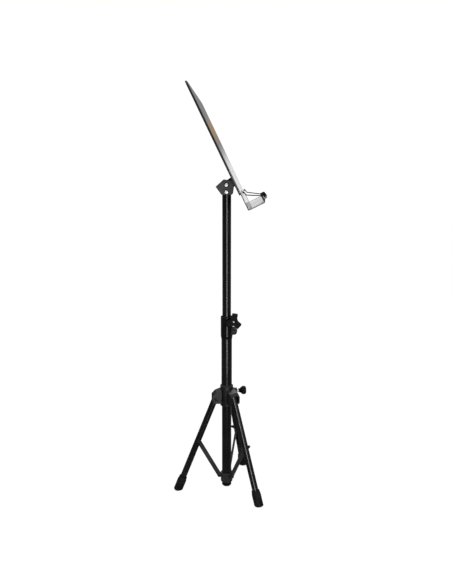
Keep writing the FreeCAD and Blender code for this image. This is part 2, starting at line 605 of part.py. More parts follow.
def collar():
    """Collar on the lower tube with three clevis lugs, and their pins."""
    seat = "lower_od / 2 + running_fit"
    skin = "lower_od / 2 + collar_wall"
    solids = [turned_body("collar_ring", [
        (seat, "0"), (skin + " - collar_chamfer", "0"), (skin, "collar_chamfer"),
        (skin, "collar_height - collar_chamfer"), (skin + " - collar_chamfer", "collar_height"),
        (seat, "collar_height")], at(z=size("collar_z")))]
    tools = []
    pins = []
    gap = "brace_thick + 2 * brace_side_gap"
    width = gap + " + 2 * lug_cheek"
    for name, azimuth in AZIMUTHS.items():
        pivot = spoke(azimuth, size("collar_pivot_r"), size("collar_pivot_z"))
        lug_r = size("lug_reach") - size("collar_pivot_r")
        eye = across(pivot)
        solids.append(centred_cylinder("lug_eye_" + name, "lug_reach - collar_pivot_r", width, eye))
        root = spoke(azimuth, size("collar_pivot_r") / 2, size("collar_pivot_z") - lug_r)
        solids.append(block("lug_root_" + name, "collar_pivot_r", width,
                            "2 * lug_reach - 2 * collar_pivot_r", root))
        slot_in = size("lower_od") / 2 + size("collar_wall") / 2
        slot = spoke(azimuth, slot_in + size("lug_reach") / 2, size("collar_z"))
        tools.append(block("lug_slot_" + name, "lug_reach", gap, "2 * collar_height", slot))
        tools.append(centred_cylinder("lug_hole_" + name, "collar_pin_d / 2 + running_fit",
                                      "2 * lug_reach", eye))
        pins.append(headed_pin("collar_pin_" + name, eye, "collar_pin_d", width,
                               "collar_pin_head_d", "collar_pin_head"))
    tools.append(cylinder("collar_bore", seat, "4 * collar_height"))
    keep("brace_collar", cut("brace_collar", fuse("collar_solid", solids), tools))
    keep("collar_pins", group("collar_pins", pins))


def tilt_head():
    """Two moulded halves bolted round the tube, with room for the bracket's tongue."""
    foot = at(z=size("tube_top_z"))
    corners = [
        ("0 - head_foot_back", "head_bottom"), ("head_foot_front", "head_bottom"),
        ("head_front - hub_chamfer", "head_front_low"), ("head_front", "tilt_up - hub_chamfer"),
        ("head_front - head_split", "head_front_shoulder"), ("head_front - head_crown", "head_front_top"),
        ("0 - head_crown_back", "head_top"), ("0 - head_back", "head_back_z")]
    tools = [
        block("head_split_gap", "4 * head_back", "head_split", "2 * head_top", foot),
        cylinder("head_tube_bore", "upper_od / 2 + running_fit", "tube_in_head + running_fit", foot)]
    tilt = at(z=TILT_Z)
    slot_y = "tongue_thick + 2 * tongue_gap"
    room = size("tongue_eye_r") + size("tongue_room")
    tools.append(centred_cylinder("head_tongue_room", "tongue_eye_r + tongue_room", slot_y, across(tilt)))
    mouth = at(x=size("head_back"), z=TILT_Z - room)
    tools.append(block("head_front_mouth", "2 * head_back", slot_y, "2 * head_top", mouth))
    crown = at(x=size("head_back") - room, z=TILT_Z)
    tools.append(block("head_top_mouth", "2 * head_back", slot_y, "2 * head_top", crown))
    bolts = []
    nuts = []
    for name, up in (("tube", "tube_bolt_up"), ("tilt", "tilt_up")):
        z = size("tube_top_z") + size(up)
        tools.append(centred_cylinder(name + "_bolt_hole", "head_bolt_d / 2 + running_fit", "4 * head_half",
                                      at(z=z).multiply(FACING_NEAR)))
        near = at(y=-size("head_half"), z=z).multiply(FACING_NEAR)
        far = at(y=size("head_half"), z=z).multiply(FACING_FAR)
        head = hexagon(name + "_bolt_head", "head_bolt_width", "head_bolt_head", near)
        through = "2 * head_half + head_nut_height + bolt_tail"
        shank = cylinder(name + "_bolt_shank", "head_bolt_d / 2", through,
                         near.multiply(at(axis=(1, 0, 0), turn=180)))
        bolts.append(fuse(name + "_bolt", [head, shank]))
        blank = hexagon(name + "_nut_blank", "head_bolt_width", "head_nut_height", far)
        bore = cylinder(name + "_nut_bore", "head_bolt_d / 2", "head_nut_height", far)
        nuts.append(cut(name + "_nut", blank, [bore]))
    inside = fuse("head_inside", tools)
    for name, reverse in (("near", False), ("far", True)):
        half = new_body("head_blank_" + name, foot)
        shell = pad(half, outline(half, "XZ_Plane", corners), "head_half", "One side", reverse)
        face = size("head_half")
        rounded = round_edges(half, shell, "head_edge",
                              lambda edge: all(abs(abs(v.Y) - face) < SAME for v in edge.Vertexes))
        half.Tip = rounded
        moulding = doc.addObject("Part::Cut", "head_" + name)
        moulding.Base = half
        moulding.Tool = inside
        keep("head_" + name, moulding)
    keep("head_bolts", group("head_bolts", bolts))
    keep("head_nuts", group("head_nuts", nuts))


def desk_place():
    """Desk frame: origin on the ledge corner, +X out of the reading face, +Z up the desk."""
    pivot = at(z=TILT_Z)
    turned = pivot.multiply(at(axis=(0, 1, 0), turn=-size("desk_tilt")))
    return turned.multiply(at(x=size("pivot_back"), z=-size("pivot_up")))


def front_rim(edge, front, bottom):
    """True for an edge round the front of the desk sheet, apart from its bottom edge."""
    flat = all(abs(v.X - front) < SAME for v in edge.Vertexes)
    return flat and any(v.Z > bottom + NEAR for v in edge.Vertexes)


def bend_line(edge, corners):
    """True for an edge across the desk that lies on one of the section's corners."""
    spot = edge.Vertexes[0]
    near = any(abs(spot.X - x) < SAME and abs(spot.Z - z) < SAME for x, z in corners)
    return near and along(edge, (0, 1, 0))


def desk():
    """Folded sheet desk with its ledge, the bracket behind it and its rivets."""
    frame = desk_place()
    half = "desk_width / 2"
    tray = new_body("desk_tray", frame)
    face = outline(tray, "YZ_Plane", [("0 - " + half, "relief"), (half, "relief"), (half, "desk_height"),
                                      ("0 - " + half, "desk_height")])
    slab = pad(tray, face, "desk_flange", "One side", True)
    top = size("desk_height")
    corners = round_edges(tray, slab, "desk_corner",
                          lambda edge: along(edge, (1, 0, 0)) and edge.Vertexes[0].Z > top - NEAR)
    round_edges(tray, corners, "edge_bend", lambda edge: front_rim(edge, 0.0, size("relief")))
    hollow = new_body("desk_hollow", frame.multiply(at(x=-size("sheet"))))
    inside = outline(hollow, "YZ_Plane", [
        ("sheet - " + half, "0"), (half + " - sheet", "0"),
        (half + " - sheet", "desk_height - sheet"), ("sheet - " + half, "desk_height - sheet")])
    core = pad(hollow, inside, "2 * desk_flange", "One side", True)
    corners = round_edges(hollow, core, "desk_corner - sheet",
                          lambda edge: along(edge, (1, 0, 0)) and edge.Vertexes[0].Z > top / 2)
    round_edges(hollow, corners, "edge_bend - sheet", lambda edge: front_rim(edge, 0.0, 0.0))

    ledge = new_body("desk_ledge", frame)
    edge_out = "ledge_depth + lip_run + lip_flange"
    lip_in = "ledge_depth + lip_run - bend_share * sheet"
    profile = outline(ledge, "XZ_Plane", [
        ("0 - sheet", "0"), ("ledge_depth", "0"), ("ledge_depth + lip_run", "lip_rise"),
        (edge_out, "lip_rise"), (edge_out, "lip_rise + sheet"), (lip_in, "lip_rise + sheet"),
        ("ledge_depth - bend_share * sheet", "sheet"), ("0", "sheet"), ("0", "apron"),
        ("0 - sheet", "apron")])
    fold = pad(ledge, profile, "desk_width - 2 * edge_bend", "Symmetric")
    lip_top = size("lip_rise") + size("sheet")
    mitre = size("bend_share") * size("sheet")
    crest = size("ledge_depth") + size("lip_run")
    outer = [(-size("sheet"), 0.0), (size("ledge_depth"), 0.0), (crest - mitre, lip_top)]
    inner = [(0.0, size("sheet")), (size("ledge_depth") - mitre, size("sheet")), (crest, size("lip_rise"))]
    bends = round_edges(ledge, fold, "bend_r", lambda edge: bend_line(edge, outer))
    round_edges(ledge, bends, "bend_r - sheet", lambda edge: bend_line(edge, inner))
    sheet_metal = cut("desk_sheet", tray, [hollow])
    joined = fuse("desk_joined", [sheet_metal, ledge])

    mid = size("pivot_up")
    rivets = []
    holes = []
    back = size("sheet") + size("bracket_sheet")
    grip = "sheet + bracket_sheet"
    bored = "rivet_d / 2 + running_fit"
    for column_side in (-1, 1):
        for row_side in (-1, 1):
            y = column_side * (size("bracket_width") / 2 - size("rivet_inset"))
            z = mid + row_side * (size("bracket_height") / 2 - size("rivet_inset"))
            spot = frame.multiply(at(x=-back, y=y, z=z, axis=(0, 1, 0), turn=90))
            label = "rivet_%d" % (len(rivets) + 1)
            holes.append(turned_body(label + "_hole", [
                ("0", "0 - rivet_head"), (bored, "0 - rivet_head"), (bored, grip + " - rivet_sink"),
                (bored + " + rivet_sink", grip), ("0", grip)], spot))
            rivets.append(turned_body(label, [
                ("0", "0 - rivet_head"), ("rivet_head_d / 4", "0 - rivet_head"), ("rivet_head_d / 2", "0"),
                ("rivet_d / 2", "0"), ("rivet_d / 2", grip + " - rivet_sink"),
                ("rivet_d / 2 + rivet_sink", grip), ("0", grip)], spot))
    keep("desk_panel", cut("desk_panel", joined, holes))
    keep("desk_rivets", group("desk_rivets", rivets))

    plate = new_body("bracket_plate", frame.multiply(at(x=-size("sheet"), z=mid)))
    wide = "bracket_width / 2"
    tall = "bracket_height / 2"
    sheet_face = outline(plate, "YZ_Plane", [("0 - " + wide, "0 - " + tall), (wide, "0 - " + tall),
                                             (wide, tall), ("0 - " + wide, tall)])
    slab = pad(plate, sheet_face, "bracket_sheet", "One side", True)
    round_edges(plate, slab, "bracket_round", lambda edge: along(edge, (1, 0, 0)))
    eye = frame.multiply(at(x=-size("pivot_back"), z=mid))
    tongue = new_body("bracket_tongue", eye)
    root = "pivot_back - sheet - bracket_sheet"
    shape = outline(tongue, "XZ_Plane", [("0", "0 - tongue_eye_r"), (root, "0 - tongue_root"),
                                         (root, "tongue_root"), ("0", "tongue_eye_r")])
    pad(tongue, shape, "tongue_thick", "Symmetric")
    round_end = centred_cylinder("tongue_eye", "tongue_eye_r", "tongue_thick", across(eye))
    eye_hole = centred_cylinder("tongue_hole", "head_bolt_d / 2 + running_fit", "4 * tongue_thick",
                                across(eye))
    whole = fuse("bracket_solid", [plate, tongue, round_end])
    bracket_holes = doc.addObject("Part::Cut", "desk_bracket")
    bracket_holes.Base = whole
    bracket_holes.Tool = fuse("bracket_hole_tools", holes + [eye_hole])
    keep("desk_bracket", bracket_holes)

    washers = []
    for side, facing in ((-1, FACING_NEAR), (1, FACING_FAR)):
        seat = at(y=side * (size("tongue_thick") / 2), z=TILT_Z).multiply(facing)
        hole = "head_bolt_d / 2 + running_fit"
        thick = "tongue_gap - loose_fit"
        washers.append(turned_body("tilt_washer_%d" % (len(washers) + 1), [
            (hole, "0"), ("washer_d / 2", "0"), ("washer_d / 2", thick), (hole, thick)], seat))
    keep("tilt_washers", group("tilt_washers", washers))


def bent_wire(points, radius, bend):
    """Round wire along straight runs joined by tangent arcs of one bend radius."""
    edges = []
    last = points[0]
    for before, corner, after in zip(points, points[1:], points[2:]):
        back = (before - corner).normalize()
        ahead = (after - corner).normalize()
        half_turn = back.getAngle(ahead) / 2
        setback = bend / math.tan(half_turn)
        start = corner + back * setback
        finish = corner + ahead * setback
        bisector = (back + ahead).normalize()
        middle = corner + bisector * (bend / math.sin(half_turn) - bend)
        edges.append(Part.LineSegment(last, start).toShape())
        edges.append(Part.Arc(start, middle, finish).toShape())
        last = finish
    edges.append(Part.LineSegment(last, points[-1]).toShape())
    heading = (points[1] - points[0]).normalize()
    section = Part.Wire(Part.makeCircle(radius, points[0], heading))
    return Part.Wire(edges).makePipeShell([section], True, False)


def page_holder(name, side):
    """Spring-wire arm that swings on an axle in a clip on the lip and leans out to the side."""
    frame = desk_place()
    lip_top = size("lip_rise") + size("sheet")
    edge_out = size("ledge_depth") + size("lip_run") + size("lip_flange")
    axle_x = edge_out - size("axle_in")
    axle_z = lip_top + size("axle_up")
    centre = side * size("holder_y")
    clip = new_body("clip_blank_" + name, frame.multiply(at(x=edge_out, y=centre)))
    top = "lip_rise + sheet + running_fit"
    under = "lip_rise - running_fit"
    inner = "0 - axle_in - clip_nose"
    shape = outline(clip, "XZ_Plane", [
        ("0 - clip_grip", under + " - clip_jaw"), ("clip_wall", under + " - clip_jaw"),
        ("clip_wall", top + " + clip_height / 2"), ("0", top + " + clip_height"),
        (inner, top + " + clip_height"), (inner, top), ("running_fit", top), ("running_fit", under),
        ("0 - clip_grip", under)])
    solid = pad(clip, shape, "clip_width", "Symmetric")
    round_edges(clip, solid, "clip_round", lambda edge: along(edge, (0, 1, 0))
                and edge.Vertexes[0].Z > lip_top + NEAR)
    axle_line = across(frame.multiply(at(x=axle_x, y=centre, z=axle_z)))
    bore = centred_cylinder("clip_bore_" + name, "wire_d / 2 + running_fit", "4 * clip_width", axle_line)
    keep("holder_clip_" + name, cut("holder_clip_" + name, clip, [bore]))

    free = centre - side * (size("clip_width") / 2 + size("axle_tail"))
    bend_y = centre + side * (size("clip_width") / 2 + size("arm_side"))
    tip_y = side * size("tip_y")
    knee_y = tip_y - side * size("arm_knee_in")
    route = [Vector(axle_x, free, axle_z), Vector(axle_x, bend_y, axle_z),
             Vector(size("arm_knee_out"), knee_y, size("arm_knee_up")),
             Vector(size("arm_crest_out"), tip_y, size("arm_crest_up")),
             Vector(size("page_gap"), tip_y, size("tip_up"))]
    wire = doc.addObject("Part::Feature", "page_holder_" + name)
    wire.Shape = bent_wire(route, size("wire_d") / 2, size("wire_bend") / 2)
    wire.Placement = frame
    keep("page_holder_" + name, wire)


column()
clamp()
hub()
for spoke_name, spoke_azimuth in AZIMUTHS.items():
    leg(spoke_name, spoke_azimuth)
    brace(spoke_name, spoke_azimuth)
collar()
tilt_head()
desk()
page_holder("near", -1)
page_holder("far", 1)
doc.recompute()

for thing in doc.Objects:
    faults = [state for state in thing.State if state in ("Invalid", "Error")]
    if faults:
        raise RuntimeError("%s is not built: %s" % (thing.Name, faults))
os.makedirs("parts", exist_ok=True)
for node, thing in nodes.items():
    if thing.Shape.isNull() or not thing.Shape.isValid():
        raise RuntimeError("%s has no valid shape" % node)
for node, thing in nodes.items():
    thing.Shape.exportStep("parts/%s.step" % node)
    print("%-20s solids %d volume %.1f" % (node, len(thing.Shape.Solids), thing.Shape.Volume))
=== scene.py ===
import json
import math

import bmesh
import bpy
import numpy as np
from mathutils import Matrix, Vector


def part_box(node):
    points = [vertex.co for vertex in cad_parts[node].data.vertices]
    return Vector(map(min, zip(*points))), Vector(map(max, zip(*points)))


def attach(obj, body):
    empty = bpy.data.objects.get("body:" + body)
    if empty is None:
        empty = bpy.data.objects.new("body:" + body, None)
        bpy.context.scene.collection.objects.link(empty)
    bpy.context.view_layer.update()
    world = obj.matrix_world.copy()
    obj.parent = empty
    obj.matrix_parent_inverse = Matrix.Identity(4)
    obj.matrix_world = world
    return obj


# Conductor music stand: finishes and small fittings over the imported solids. Metres throughout.

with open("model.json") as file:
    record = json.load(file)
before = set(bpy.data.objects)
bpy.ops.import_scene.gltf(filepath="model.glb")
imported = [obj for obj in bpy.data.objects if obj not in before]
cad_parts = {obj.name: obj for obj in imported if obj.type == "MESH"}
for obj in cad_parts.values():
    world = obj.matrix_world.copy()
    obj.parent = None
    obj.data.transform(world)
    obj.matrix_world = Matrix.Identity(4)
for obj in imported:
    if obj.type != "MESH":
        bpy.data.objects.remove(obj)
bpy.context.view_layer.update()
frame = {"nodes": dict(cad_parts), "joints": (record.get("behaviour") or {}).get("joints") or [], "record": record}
NODES = frame["nodes"]
JOINTS = {joint["name"]: joint for joint in frame["joints"]}

MM = 0.001
LEG_LEAN = math.radians(22.0)
DESK_LEAN = math.radians(26.0)
LEGS = ("left", "front", "rear")
SIDES = (("near", -1), ("far", 1))
UP = np.array([0.0, 0.0, 1.0])
TO_NEAR = (0, -1, 0)
TO_FAR = (0, 1, 0)
RIGHT = (1, 0, 0)
WHITE = (1.0, 1.0, 1.0)


# Local frames: an origin and three unit rows, local X, Y and Z.

def unit(vector):
    """The vector divided by its length."""
    vector = np.asarray(vector, float)
    return vector / np.linalg.norm(vector)


def frame_along(origin, z_axis, x_hint):
    """Frame whose Z is z_axis and whose X is the hint with its part along Z taken away."""
    z_row = unit(z_axis)
    hint = np.asarray(x_hint, float)
    x_row = unit(hint - z_row * hint.dot(z_row))
    return np.asarray(origin, float), np.stack([x_row, np.cross(z_row, x_row), z_row])


def to_row(points, place):
    """Points of a local frame in the object's frame: origin + x X + y Y + z Z."""
    origin, rows = place
    return origin + np.asarray(points, float) @ rows


def joint_point(name):
    """Where a joint sits at rest."""
    return np.array(JOINTS[name]["pos_m"], float)


def leg_frame(side):
    """Leg frame: origin on the hub pivot, Z up along the leg, X out of the leg's front."""
    joint = JOINTS["leg_%s_fold" % side]
    across = np.array(joint["axis"], float)
    outward = np.cross(across, UP)
    up_leg = UP * math.cos(LEG_LEAN) - outward * math.sin(LEG_LEAN)
    return frame_along(joint["pos_m"], up_leg, outward)


# Desk frame: origin on the ledge's corner, X out of the reading face, Y along it, Z up the desk.
DESK_N = np.array([math.cos(DESK_LEAN), 0.0, math.sin(DESK_LEAN)])
DESK_E = np.array([-math.sin(DESK_LEAN), 0.0, math.cos(DESK_LEAN)])
PIVOT_UP = 86.0 * MM
PIVOT_BACK = 34.0 * MM
DESK_ORIGIN = joint_point("desk_tilt") + PIVOT_BACK * DESK_N - PIVOT_UP * DESK_E
DESK_FRAME = frame_along(DESK_ORIGIN, DESK_E, DESK_N)


# Meshes from whole arrays.

SAME_POINT = 1e-7
NO_LENGTH = 1e-8
SHARP_ANGLE = math.radians(35)


def grid_quads(rows, columns, wrap_rows, wrap_columns):
    """Quads between neighbours of a rows x columns grid, wrapping where the grid closes."""
    i, j = np.meshgrid(np.arange(rows if wrap_rows else rows - 1),
                       np.arange(columns if wrap_columns else columns - 1), indexing="ij")
    i_next = (i + 1) % rows
    j_next = (j + 1) % columns
    quads = np.stack([i * columns + j, i_next * columns + j,
                      i_next * columns + j_next, i * columns + j_next], axis=-1)
    return quads.reshape(-1, 4)


def piece(name, patches, material, body):
    """One closed piece from (points grid, wrap rows, wrap columns) patches, riding on a body."""
    points = []
    quads = []
    start = 0
    for grid, wrap_rows, wrap_columns in patches:
        rows, columns = grid.shape[:2]
        points.append(grid.reshape(-1, 3))
        quads.append(grid_quads(rows, columns, wrap_rows, wrap_columns) + start)
        start += rows * columns
    mesh = bpy.data.meshes.new(name)
    mesh.from_pydata(np.concatenate(points).tolist(), [], np.concatenate(quads).tolist())
    shell = bmesh.new()
    shell.from_mesh(mesh)
    bmesh.ops.remove_doubles(shell, verts=shell.verts, dist=SAME_POINT)
    bmesh.ops.dissolve_degenerate(shell, edges=shell.edges, dist=NO_LENGTH)
    bmesh.ops.recalc_face_normals(shell, faces=shell.faces)
    shell.to_mesh(mesh)
    shell.free()
    mesh.shade_smooth()
    mesh.set_sharp_from_angle(angle=SHARP_ANGLE)
    mesh.materials.append(material)
    thing = bpy.data.objects.new(name, mesh)
    bpy.context.scene.collection.objects.link(thing)
    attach(thing, body)


def full_turn(count):
    """Angles of a full turn, evenly spaced, the last one left out."""
    return np.linspace(0, 2 * math.pi, count, endpoint=False)


def turned(profile, place, sides):
    """Surface of revolution: (r cos t, r sin t, h) over the turn t and the profile's (r, h) points."""
    profile = np.asarray(profile, float)
    turn = full_turn(sides)[:, None]
    radius = profile[None, :, 0]
    height = np.broadcast_to(profile[None, :, 1], (sides, len(profile)))
    points = np.stack([radius * np.cos(turn), radius * np.sin(turn), height], axis=-1)
    return to_row(points, place), True, False


def ring_bead(radius, height, swell, place, sides=72, section=14):
    """Torus: a circle of radius swell carried round a circle of the given radius."""
    turn = full_turn(sides)[:, None]
    around = full_turn(section)[None, :]
    reach = radius + swell * np.cos(around)
    rise = np.broadcast_to(height + swell * np.sin(around), (sides, section))
    points = np.stack([reach * np.cos(turn), reach * np.sin(turn), rise], axis=-1)
    return to_row(points, place), True, True


def thread(core, crest, pitch, low, high, place, sides=40, rows_per_pitch=10, least_rows=8):
    """Screw thread: radius = core + (crest - core) x triangle wave of (height / pitch - turn)."""
    rows = max(least_rows, int((high - low) / pitch * rows_per_pitch))
    turn = np.linspace(0, 1, sides, endpoint=False)[:, None]
    height = np.linspace(low, high, rows)[None, :]
    phase = (height / pitch - turn) % 1.0
    radius = core + (crest - core) * (1 - np.abs(2 * phase - 1))
    radius[:, [0, -1]] = core
    angle = 2 * math.pi * turn
    points = np.stack([radius * np.cos(angle), radius * np.sin(angle),
                       np.broadcast_to(height, (sides, rows))], axis=-1)
    ends = np.zeros((sides, 1, 3))
    bottom = ends + np.array([0, 0, low])
    top = ends + np.array([0, 0, high])
    return to_row(np.concatenate([bottom, points, top], axis=1), place), True, False


def dome(radius, rise, place, sides=40, rings=8):
    """Spherical cap with a flat under side: r = radius sin a, h = rise cos a."""
    angle = np.linspace(0, math.pi / 2, rings)
    profile = np.stack([radius * np.sin(angle), rise * np.cos(angle)], axis=1)
    return turned(np.concatenate([profile, [[0.0, 0.0]]]), place, sides)


def ball(radius, reach, place, sides=32, rings=17):
    """Ellipsoid along local Z: r = radius sin a, h = -reach cos a."""
    angle = np.linspace(0, math.pi, rings)
    return turned(np.stack([radius * np.sin(angle), -reach * np.cos(angle)], axis=1), place, sides)


def weld_bead(start, finish, radius, ripple, place, rows=90, section=12):
    """Bead from start to finish, round in section and blunt at both ends.

    r = radius (1 + 0.12 sin(2 pi t length / ripple)) sqrt(1 - (2 t - 1)^8) over the share t of its length.
    """
    wave_share = 0.12
    bluntness = 8
    share = np.linspace(0, 1, rows)[:, None]
    around = full_turn(section)[None, :]
    start = np.asarray(start, float)
    run = np.asarray(finish, float) - start
    length = np.linalg.norm(run)
    fade = np.sqrt(np.clip(1 - (2 * share - 1) ** bluntness, 0, 1))
    wave = 1 + wave_share * np.sin(2 * math.pi * share * length / ripple)
    swell = radius * wave * fade
    line = start + share[:, :, None] * run
    out = np.array(RIGHT, float)
    side = unit(np.cross(run, out))
    offset = np.cos(around)[..., None] * out + np.sin(around)[..., None] * side
    return to_row(line + swell[..., None] * offset, place), False, True


# Finishes. The groups below give masks, heights and colours that vary over the surface.

def new_group(name, inputs, outputs):
    """Shader node group with float inputs (name, default) and float outputs (names)."""
    tree = bpy.data.node_groups.new(name, "ShaderNodeTree")
    for label, value in inputs:
        socket = tree.interface.new_socket(label, in_out="INPUT", socket_type="NodeSocketFloat")
        socket.default_value = value
    for label in outputs:
        tree.interface.new_socket(label, in_out="OUTPUT", socket_type="NodeSocketFloat")
    source = tree.nodes.new("NodeGroupInput")
    sink = tree.nodes.new("NodeGroupOutput")
    return tree, source, sink


def math_node(tree, operation, first, second, clamp=False):
    """Math node over sockets or plain numbers."""
    node = tree.nodes.new("ShaderNodeMath")
    node.operation = operation
    node.use_clamp = clamp
    for slot_index, value in enumerate((first, second)):
        if isinstance(value, (int, float)):
            node.inputs[slot_index].default_value = value
        else:
            tree.links.new(value, node.inputs[slot_index])
    return node.outputs[0]


def plus(tree, first, second):
    """Sum of two sockets or numbers."""
    return math_node(tree, "ADD", first, second)


def times(tree, first, second):
    """Product of two sockets or numbers."""
    return math_node(tree, "MULTIPLY", first, second)


def minus(tree, first, second, clamp=False):
    """First less second, held within 0..1 if clamped."""
    return math_node(tree, "SUBTRACT", first, second, clamp)


def spread(tree, value, low, high):
    """Value mapped from low..high to 0..1, smoothly, and held there outside."""
    node = tree.nodes.new("ShaderNodeMapRange")
    node.interpolation_type = "SMOOTHSTEP"
    tree.links.new(value, node.inputs["Value"])
    node.inputs["From Min"].default_value = low
    node.inputs["From Max"].default_value = high
    return node.outputs["Result"]


def coordinates(tree, kind):
    """Separate X, Y and Z of a texture coordinate."""
    split = tree.nodes.new("ShaderNodeSeparateXYZ")
    tree.links.new(tree.nodes.new("ShaderNodeTexCoord").outputs[kind], split.inputs["Vector"])
    return split.outputs


def noise(tree, scale, detail, stretch=None):
    """Noise on Object coordinates; stretch squeezes it along an axis."""
    place = tree.nodes.new("ShaderNodeTexCoord").outputs["Object"]
    if stretch is not None:
        mapping = tree.nodes.new("ShaderNodeMapping")
        mapping.inputs["Scale"].default_value = stretch
        tree.links.new(place, mapping.inputs["Vector"])
        place = mapping.outputs["Vector"]
    node = tree.nodes.new("ShaderNodeTexNoise")
    node.inputs["Detail"].default_value = detail
    tree.links.new(place, node.inputs["Vector"])
    if isinstance(scale, (int, float)):
        node.inputs["Scale"].default_value = scale
    else:
        tree.links.new(scale, node.inputs["Scale"])
    return node.outputs["Fac"]


def grain_group():
    """Fine surface relief: a small noise over a broader one, and a slow variation for gloss."""
    broad_scale = 0.22
    slow_scale = 14.0
    tree, source, sink = new_group(
        "fine_grain", [("Scale", 900.0), ("Broad Share", 0.35)], ["Height", "Variation"])
    fine = noise(tree, source.outputs["Scale"], 2.0)
    broad = noise(tree, times(tree, source.outputs["Scale"], broad_scale), 1.0)
    height = plus(tree, fine, times(tree, broad, source.outputs["Broad Share"]))
    tree.links.new(height, sink.inputs["Height"])
    slow = spread(tree, noise(tree, slow_scale, 3.0), 0.35, 0.65)
    tree.links.new(slow, sink.inputs["Variation"])
    return tree


def wear_group():
    """Rubbed edges, where the rounded normal leaves the true one, and scuffs from a stretched noise."""
    edge_radius = 0.9 * MM
    patch_scale = 160.0
    streak_scale = 55.0
    streak_stretch = (1.0, 1.0, 0.18)
    tree, source, sink = new_group("handling_wear", [("Edge", 0.5), ("Scuff", 0.3)], ["Edge", "Scuff"])
    bevel = tree.nodes.new("ShaderNodeBevel")
    bevel.samples = 4
    bevel.inputs["Radius"].default_value = edge_radius
    true_normal = tree.nodes.new("ShaderNodeNewGeometry")
    agree = tree.nodes.new("ShaderNodeVectorMath")
    agree.operation = "DOT_PRODUCT"
    tree.links.new(bevel.outputs["Normal"], agree.inputs[0])
    tree.links.new(true_normal.outputs["Normal"], agree.inputs[1])
    rubbed = spread(tree, minus(tree, 1.0, agree.outputs["Value"]), 0.02, 0.22)
    patchy = spread(tree, noise(tree, patch_scale, 4.0), 0.38, 0.62)
    edge = times(tree, times(tree, rubbed, patchy), source.outputs["Edge"])
    tree.links.new(edge, sink.inputs["Edge"])
    streaks = spread(tree, noise(tree, streak_scale, 5.0, streak_stretch), 0.56, 0.72)
    tree.links.new(times(tree, streaks, source.outputs["Scuff"]), sink.inputs["Scuff"])
    return tree


def dust_group():
    """Dust near the floor: thicker towards the ground, broken up by a noise."""
    cloud_scale = 60.0
    tree, source, sink = new_group("floor_dust", [("Top", 0.12), ("Amount", 0.3)], ["Dust"])
    height = coordinates(tree, "Object")["Z"]
    low = minus(tree, 1.0, math_node(tree, "DIVIDE", height, source.outputs["Top"]), clamp=True)
    cloud = spread(tree, noise(tree, cloud_scale, 4.0), 0.35, 0.75)
    dust = times(tree, times(tree, low, cloud), source.outputs["Amount"])
    tree.links.new(dust, sink.inputs["Dust"])
    return tree


GRAIN = grain_group()
WEAR = wear_group()
DUST = dust_group()
DUST_COLOUR = (0.22, 0.20, 0.18)
SCUFF_DULLING = 0.25


def place_group(tree, group, **values):
    """A group node in a material, with its own input values."""
    node = tree.nodes.new("ShaderNodeGroup")
    node.node_tree = group
    for label, value in values.items():
        node.inputs[label].default_value = value
    return node


def mix_colour(tree, share, first, second):
    """Colour between two, each a socket or three numbers, by a share."""
    node = tree.nodes.new("ShaderNodeMix")
    node.data_type = "RGBA"
    tree.links.new(share, node.inputs["Factor"])
    for label, value in (("A", first), ("B", second)):
        socket = [s for s in node.inputs if s.name == label and s.type == "RGBA"][0]
        if isinstance(value, tuple):
            socket.default_value = (*value, 1.0)
        else:
            tree.links.new(value, socket)
    return [s for s in node.outputs if s.type == "RGBA"][0]


def grey(level, blue=0.0):
    """A grey, with a little more blue where that is given."""
    return level, level, level + blue


def finish(name, colour, faded, worn, rough, rough_spread, grain, depth, edge, scuff, dust=0.0, **sockets):
    """Material: colour that drifts to faded, worn on edges, dusty low down, with a fine relief."""
    material = bpy.data.materials.new(name)
    material.use_nodes = True
    tree = material.node_tree
    shader = tree.nodes["Principled BSDF"]
    for label, value in sockets.items():
        shader.inputs[label.replace("_", " ")].default_value = value
    relief = place_group(tree, GRAIN, Scale=grain)
    wear = place_group(tree, WEAR, Edge=edge, Scuff=scuff)
    base = mix_colour(tree, relief.outputs["Variation"], colour, faded)
    base = mix_colour(tree, wear.outputs["Scuff"], base, faded)
    base = mix_colour(tree, wear.outputs["Edge"], base, worn)
    if dust:
        floor = place_group(tree, DUST, Amount=dust)
        base = mix_colour(tree, floor.outputs["Dust"], base, DUST_COLOUR)
    tree.links.new(base, shader.inputs["Base Color"])
    uneven = times(tree, relief.outputs["Variation"], rough_spread)
    dull = times(tree, wear.outputs["Scuff"], SCUFF_DULLING)
    roughness = plus(tree, plus(tree, uneven, rough), dull)
    tree.links.new(roughness, shader.inputs["Roughness"])
    bump = tree.nodes.new("ShaderNodeBump")
    bump.inputs["Strength"].default_value = 1.0
    bump.inputs["Distance"].default_value = depth
    tree.links.new(relief.outputs["Height"], bump.inputs["Height"])
    tree.links.new(bump.outputs["Normal"], shader.inputs["Normal"])
    return material


TUBE_PAINT = finish("tube_powder_coat", grey(0.0042, 0.0004), grey(0.007, 0.0005), grey(0.05, 0.002),
                    rough=0.21, rough_spread=0.03, grain=1100.0, depth=0.0006 * MM,
                    edge=0.25, scuff=0.06, dust=0.10, Specular_IOR_Level=0.30)
# Painted light: a paler copy of the tubes' black powder coat for the braces and the brace collar. Its lighter base
# stands in for light falling on the braces.
BRACE_PAINT_PAINTED_LIGHT = finish("brace_coat_painted_light", grey(0.025, 0.001), grey(0.033, 0.001), grey(0.07, 0.002),
                     rough=0.27, rough_spread=0.05, grain=1100.0, depth=0.001 * MM,
                     edge=0.25, scuff=0.10, Specular_IOR_Level=0.40)
DESK_PAINT = finish("desk_powder_coat", grey(0.022, 0.0005), grey(0.031, 0.001), grey(0.08, 0.003),
                    rough=0.08, rough_spread=0.03, grain=1500.0, depth=0.001 * MM,
                    edge=0.15, scuff=0.10)
COLLAR_NYLON = finish("moulded_nylon_collar", grey(0.0045, 0.0005), grey(0.008, 0.0005), grey(0.04, 0.002),
                      rough=0.18, rough_spread=0.03, grain=2300.0, depth=0.002 * MM,
                      edge=0.30, scuff=0.10, Specular_IOR_Level=0.16)
